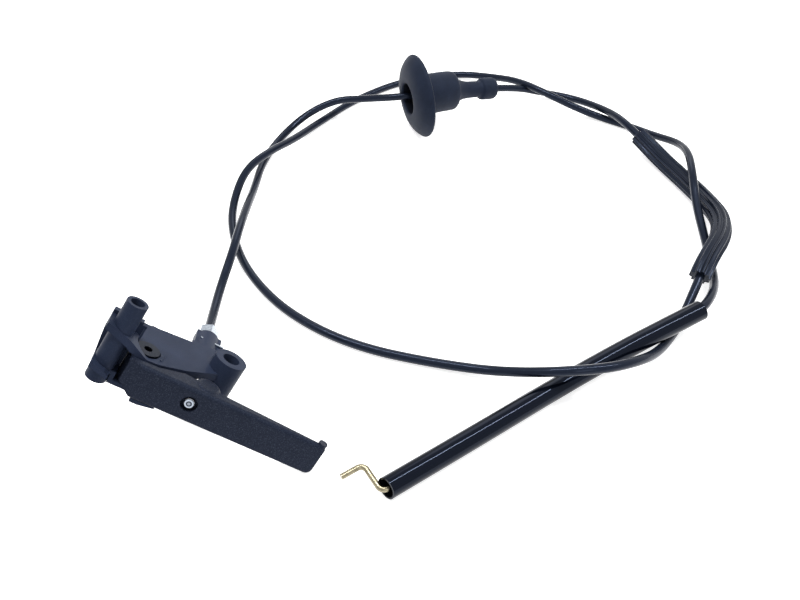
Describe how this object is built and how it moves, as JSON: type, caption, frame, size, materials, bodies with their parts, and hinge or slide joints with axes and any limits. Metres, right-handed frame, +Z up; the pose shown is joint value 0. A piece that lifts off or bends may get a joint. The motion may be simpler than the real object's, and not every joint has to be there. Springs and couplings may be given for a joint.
{
  "type": "hood release cable",
  "caption": "Pull lever on a moulded bracket, with a sheathed release cable in two turns, a bulkhead grommet, a sleeve and a hooked wire end.",
  "frame": {"origin": "middle of the handle's footprint, on the surface that the object lies on", "axes": "+Z up, +X along the handle towards the lever's tip, +Y towards the far side of the laid cable"},
  "size_m": [0.327, 0.3764, 0.0822],
  "materials": {
    "bracket_plastic": "moulded black nylon, satin",
    "lever_plastic": "moulded black nylon with a fine grain",
    "plated_steel": "bright zinc plated",
    "inner_wire": "stranded galvanised steel",
    "conduit_jacket": "extruded black plastic jacket, semi-gloss",
    "sleeve_pvc": "glossy soft PVC tube",
    "sheath_rubber": "ribbed extruded rubber",
    "grommet_rubber": "matt moulded rubber",
    "yellow_zinc_steel": "yellow zinc plated steel"
  },
  "bodies": {
    "root": {"bracket": "bracket_plastic", "pivot_pin": "bracket_plastic", "pull_wire": "inner_wire", "conduit_ferrule": "plated_steel", "retaining_clip": "plated_steel", "adjuster_nut": "plated_steel", "outer_conduit": "conduit_jacket", "sleeve": "sleeve_pvc", "split_sheath": "sheath_rubber", "grommet": "grommet_rubber", "conduit_end_cap": "plated_steel"},
    "pull_lever": {"lever": "lever_plastic", "wire_stop": "plated_steel"},
    "hook_end": {"end_wire": "inner_wire", "wire_crimp": "plated_steel", "hook_rod": "yellow_zinc_steel"}
  },
  "joints": [
    {"name": "lever_hinge", "type": "hinge", "parent": "root", "child": "pull_lever", "pos_m": [-0.02949, -0.01669, 0.04947], "axis": [-0.5519, -0.3786, -0.743], "range_deg": [0, 30], "deforming": ["pull_wire"]},
    {"name": "hook_slide", "type": "slide", "parent": "root", "child": "hook_end", "axis": [0.8321, 0.5547, 0], "range_m": [0, 0.0125], "deforming": ["sleeve"]}
  ],
  "couplings": [
    {"joint": "hook_slide", "follows": "lever_hinge", "m_per_rad": 0.0235}
  ]
}
